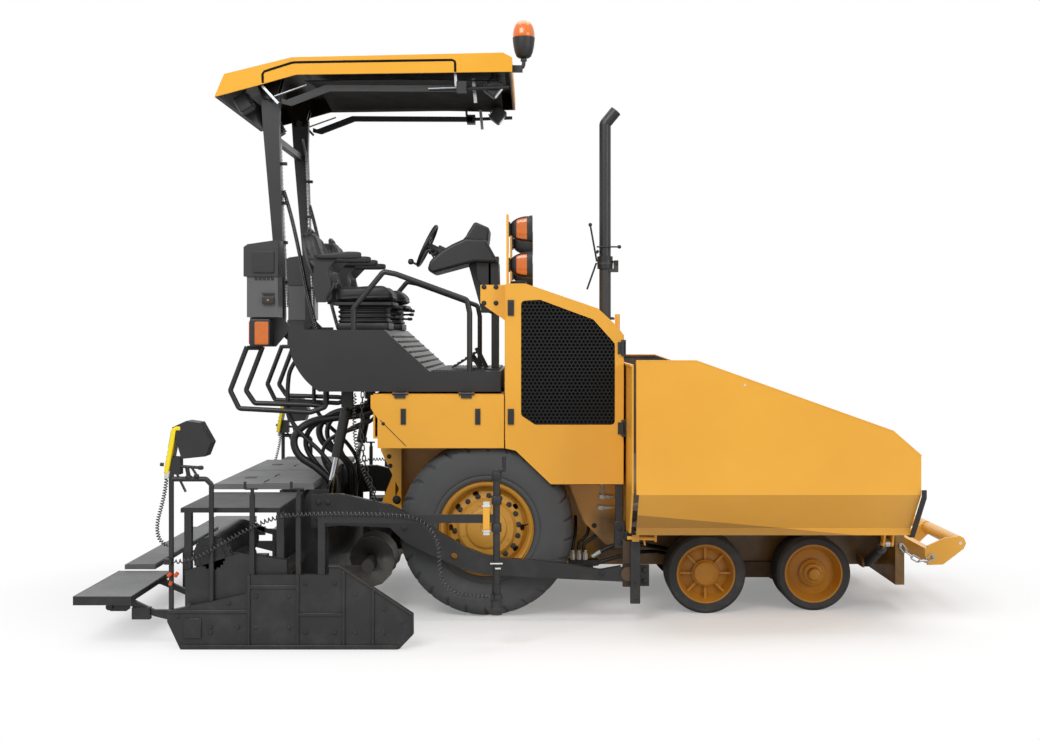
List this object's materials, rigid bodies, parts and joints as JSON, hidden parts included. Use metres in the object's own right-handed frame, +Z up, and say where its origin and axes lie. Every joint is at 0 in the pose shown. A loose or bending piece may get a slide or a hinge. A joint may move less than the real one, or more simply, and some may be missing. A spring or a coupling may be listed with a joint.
{
  "type": "wheeled asphalt paver",
  "caption": "Small wheeled asphalt paver with folding hopper wings, slat conveyors, augers, a folding canopy and an extending screed.",
  "frame": {"origin": "on the ground under the middle of the whole machine's box", "axes": "+X forward towards the hopper, +Y to the machine's left, +Z up"},
  "size_m": [5.2079, 3.4366, 3.694],
  "materials": {
    "yellow_paint": "semi-gloss yellow machine enamel",
    "dark_paint": "satin dark grey enamel",
    "deck_paint": "grey anti-slip deck paint",
    "hopper_steel": "worn dark steel plate",
    "worn_steel": "bare worn steel",
    "chrome_rod": "polished rod",
    "cast_engine": "painted castings",
    "tyre_rubber": "black tyre rubber",
    "solid_rubber": "solid rubber bonded on a yellow steel hub",
    "seat_plastic": "grained black moulding",
    "seat_vinyl": "padded black vinyl",
    "lamp_plastic": "black lamp housings with clear and amber lenses",
    "beacon_lens": "orange beacon lens on a black base",
    "cable_jacket": "black curly cable",
    "grille_steel": "black perforated sheet"
  },
  "bodies": {
    "tractor": {"main_frame": "yellow_paint", "bogie_beams": "dark_paint", "final_drives": "dark_paint", "slat_conveyors": "worn_steel", "hopper_box": "hopper_steel", "engine_hood": "yellow_paint", "engine_block": "cast_engine", "side_lockers": "yellow_paint", "platform": "dark_paint", "seat_stands": "seat_plastic", "seats": "seat_vinyl", "hand_rails": "dark_paint", "rear_cabinets": "dark_paint", "lamps": "lamp_plastic", "auger_drive": "dark_paint"},
    "push_yoke": {"push_yoke": "yellow_paint"},
    "push_rollers": {"push_rollers": "yellow_paint"},
    "console": {"console": "seat_plastic"},
    "steering_wheel": {"steering_wheel": "seat_plastic"},
    "canopy_mast": {"canopy_mast": "dark_paint"},
    "canopy_roof": {"canopy_roof": "yellow_paint", "work_lights": "lamp_plastic", "beacon": "beacon_lens"},
    "exhaust_stack": {"exhaust_stack": "dark_paint"},
    "screed": {"tow_arms": "dark_paint", "screed_frame": "dark_paint", "screed_decks": "deck_paint"},
    "lift_barrels": {"lift_cylinder_barrels": "dark_paint"},
    "lift_rods": {"lift_cylinder_rods": "chrome_rod"},
    "rear_wheel_right": {"rear_tyre_right": "tyre_rubber", "rear_rim_right": "yellow_paint"},
    "knuckle_right": {"steering_knuckle_right": "dark_paint"},
    "front_wheel_rear_right": {"front_wheel_rear_right": "solid_rubber"},
    "front_wheel_front_right": {"front_wheel_front_right": "solid_rubber"},
    "wing_right": {"hopper_wing_right": "yellow_paint"},
    "wing_barrel_right": {"wing_cylinder_barrel_right": "dark_paint"},
    "wing_rod_right": {"wing_cylinder_rod_right": "chrome_rod"},
    "engine_door_right": {"engine_door_right": "yellow_paint", "engine_grille_right": "grille_steel"},
    "locker_door_right": {"locker_door_right": "yellow_paint"},
    "auger_right": {"auger_right": "worn_steel"},
    "extension_right": {"screed_extension_right": "dark_paint", "screed_controls_right": "lamp_plastic", "sensor_cable_right": "cable_jacket"},
    "rear_wheel_left": {"rear_tyre_left": "tyre_rubber", "rear_rim_left": "yellow_paint"},
    "knuckle_left": {"steering_knuckle_left": "dark_paint"},
    "front_wheel_rear_left": {"front_wheel_rear_left": "solid_rubber"},
    "front_wheel_front_left": {"front_wheel_front_left": "solid_rubber"},
    "wing_left": {"hopper_wing_left": "yellow_paint"},
    "wing_barrel_left": {"wing_cylinder_barrel_left": "dark_paint"},
    "wing_rod_left": {"wing_cylinder_rod_left": "chrome_rod"},
    "engine_door_left": {"engine_door_left": "yellow_paint", "engine_grille_left": "grille_steel"},
    "locker_door_left": {"locker_door_left": "yellow_paint"},
    "auger_left": {"auger_left": "worn_steel"},
    "extension_left": {"screed_extension_left": "dark_paint", "screed_controls_left": "lamp_plastic", "sensor_cable_left": "cable_jacket"}
  },
  "joints": [
    {"name": "rear_wheel_right_spin", "type": "hinge", "parent": "tractor", "child": "rear_wheel_right", "pos_m": [-0.37, -0.66, 0.536], "axis": [0, 1, 0], "continuous": true},
    {"name": "steer_right", "type": "hinge", "parent": "tractor", "child": "knuckle_right", "pos_m": [1.67, -0.345, 0.238], "axis": [0, 0, 1], "range_deg": [-20, 20]},
    {"name": "front_wheel_rear_right_spin", "type": "hinge", "parent": "tractor", "child": "front_wheel_rear_right", "pos_m": [0.985, -0.609, 0.245], "axis": [0, 1, 0], "continuous": true},
    {"name": "front_wheel_front_right_spin", "type": "hinge", "parent": "knuckle_right", "child": "front_wheel_front_right", "pos_m": [1.67, -0.515, 0.231], "axis": [0, 1, 0], "continuous": true},
    {"name": "wing_right_lift", "type": "hinge", "parent": "tractor", "child": "wing_right", "pos_m": [1.3, -0.56, 0.507], "axis": [-1, 0, 0], "range_deg": [0, 45]},
    {"name": "wing_barrel_right_swing", "type": "hinge", "parent": "tractor", "child": "wing_barrel_right", "pos_m": [2.062, -0.4, 0.262], "axis": [-1, 0, 0], "range_deg": [0, 25]},
    {"name": "wing_rod_right_stroke", "type": "slide", "parent": "wing_barrel_right", "child": "wing_rod_right", "axis": [0, -0.9285, 0.3714], "range_m": [0, 0.0885]},
    {"name": "engine_door_right_swing", "type": "hinge", "parent": "tractor", "child": "engine_door_right", "pos_m": [0.459, -0.891, 1.4], "axis": [0, 0, 1], "range_deg": [0, 90]},
    {"name": "locker_door_right_swing", "type": "hinge", "parent": "tractor", "child": "locker_door_right", "pos_m": [-0.66, -0.889, 1.366], "axis": [-1, 0, 0], "range_deg": [0, 85]},
    {"name": "auger_right_spin", "type": "hinge", "parent": "tractor", "child": "auger_right", "pos_m": [-1.098, -0.45, 0.305], "axis": [0, 1, 0], "continuous": true},
    {"name": "extension_right_slide", "type": "slide", "parent": "screed", "child": "extension_right", "axis": [0, 1, 0], "range_m": [0, 0.68]},
    {"name": "rear_wheel_left_spin", "type": "hinge", "parent": "tractor", "child": "rear_wheel_left", "pos_m": [-0.37, 0.66, 0.536], "axis": [0, 1, 0], "continuous": true},
    {"name": "steer_left", "type": "hinge", "parent": "tractor", "child": "knuckle_left", "pos_m": [1.67, 0.345, 0.238], "axis": [0, 0, 1], "range_deg": [-20, 20]},
    {"name": "front_wheel_rear_left_spin", "type": "hinge", "parent": "tractor", "child": "front_wheel_rear_left", "pos_m": [0.985, 0.609, 0.245], "axis": [0, 1, 0], "continuous": true},
    {"name": "front_wheel_front_left_spin", "type": "hinge", "parent": "knuckle_left", "child": "front_wheel_front_left", "pos_m": [1.67, 0.515, 0.231], "axis": [0, 1, 0], "continuous": true},
    {"name": "wing_left_lift", "type": "hinge", "parent": "tractor", "child": "wing_left", "pos_m": [1.3, 0.56, 0.507], "axis": [1, 0, 0], "range_deg": [0, 45]},
    {"name": "wing_barrel_left_swing", "type": "hinge", "parent": "tractor", "child": "wing_barrel_left", "pos_m": [2.062, 0.4, 0.262], "axis": [1, 0, 0], "range_deg": [0, 25]},
    {"name": "wing_rod_left_stroke", "type": "slide", "parent": "wing_barrel_left", "child": "wing_rod_left", "axis": [0, 0.9285, 0.3714], "range_m": [0, 0.0885]},
    {"name": "engine_door_left_swing", "type": "hinge", "parent": "tractor", "child": "engine_door_left", "pos_m": [0.459, 0.891, 1.4], "axis": [0, 0, -1], "range_deg": [0, 90]},
    {"name": "locker_door_left_swing", "type": "hinge", "parent": "tractor", "child": "locker_door_left", "pos_m": [-0.66, 0.889, 1.366], "axis": [1, 0, 0], "range_deg": [0, 85]},
    {"name": "auger_left_spin", "type": "hinge", "parent": "tractor", "child": "auger_left", "pos_m": [-1.098, 0.45, 0.305], "axis": [0, 1, 0], "continuous": true},
    {"name": "extension_left_slide", "type": "slide", "parent": "screed", "child": "extension_left", "axis": [0, -1, 0], "range_m": [0, 0.68]},
    {"name": "push_yoke_swing", "type": "hinge", "parent": "tractor", "child": "push_yoke", "pos_m": [2.27, 0, 0.39], "axis": [0, 0, 1], "range_deg": [-8, 8]},
    {"name": "push_rollers_spin", "type": "hinge", "parent": "push_yoke", "child": "push_rollers", "pos_m": [2.564, 0, 0.432], "axis": [0, 1, 0], "continuous": true},
    {"name": "console_slide", "type": "slide", "parent": "tractor", "child": "console", "axis": [0, 1, 0], "range_m": [0, 0.6]},
    {"name": "steering_wheel_turn", "type": "hinge", "parent": "console", "child": "steering_wheel", "pos_m": [-0.772, -0.3, 2.302], "axis": [-0.9032, 0, 0.4291], "continuous": true},
    {"name": "mast_fold", "type": "hinge", "parent": "tractor", "child": "canopy_mast", "pos_m": [-1.676, 0, 1.79], "axis": [0, -1, 0], "range_deg": [0, 45]},
    {"name": "roof_level", "type": "hinge", "parent": "canopy_mast", "child": "canopy_roof", "pos_m": [-1.739, 0, 3.227], "axis": [0, 1, 0], "range_deg": [0, 45]},
    {"name": "exhaust_fold", "type": "hinge", "parent": "tractor", "child": "exhaust_stack", "pos_m": [0.4505, -0.35, 2.19], "axis": [0, 1, 0], "range_deg": [0, 90]},
    {"name": "screed_lift", "type": "hinge", "parent": "tractor", "child": "screed", "pos_m": [0.486, 0, 0.285], "axis": [0, 1, 0], "range_deg": [0, 8]},
    {"name": "lift_barrels_swing", "type": "hinge", "parent": "tractor", "child": "lift_barrels", "pos_m": [-1.25, 0, 1.3], "axis": [0, 1, 0], "range_deg": [-2.5, 0]},
    {"name": "lift_rods_stroke", "type": "slide", "parent": "lift_barrels", "child": "lift_rods", "axis": [-0.1961, 0, -0.9806], "range_m": [-0.27, 0]}
  ],
  "couplings": [
    {"joint": "steer_right", "follows": "steer_left", "ratio": 1},
    {"joint": "roof_level", "follows": "mast_fold", "ratio": 1},
    {"joint": "lift_barrels_swing", "follows": "screed_lift", "ratio": -0.27992},
    {"joint": "lift_rods_stroke", "follows": "screed_lift", "m_per_rad": -1.8942},
    {"joint": "wing_barrel_right_swing", "follows": "wing_right_lift", "ratio": 0.54622},
    {"joint": "wing_rod_right_stroke", "follows": "wing_right_lift", "m_per_rad": 0.1121},
    {"joint": "wing_barrel_left_swing", "follows": "wing_left_lift", "ratio": 0.54622},
    {"joint": "wing_rod_left_stroke", "follows": "wing_left_lift", "m_per_rad": 0.1121}
  ]
}
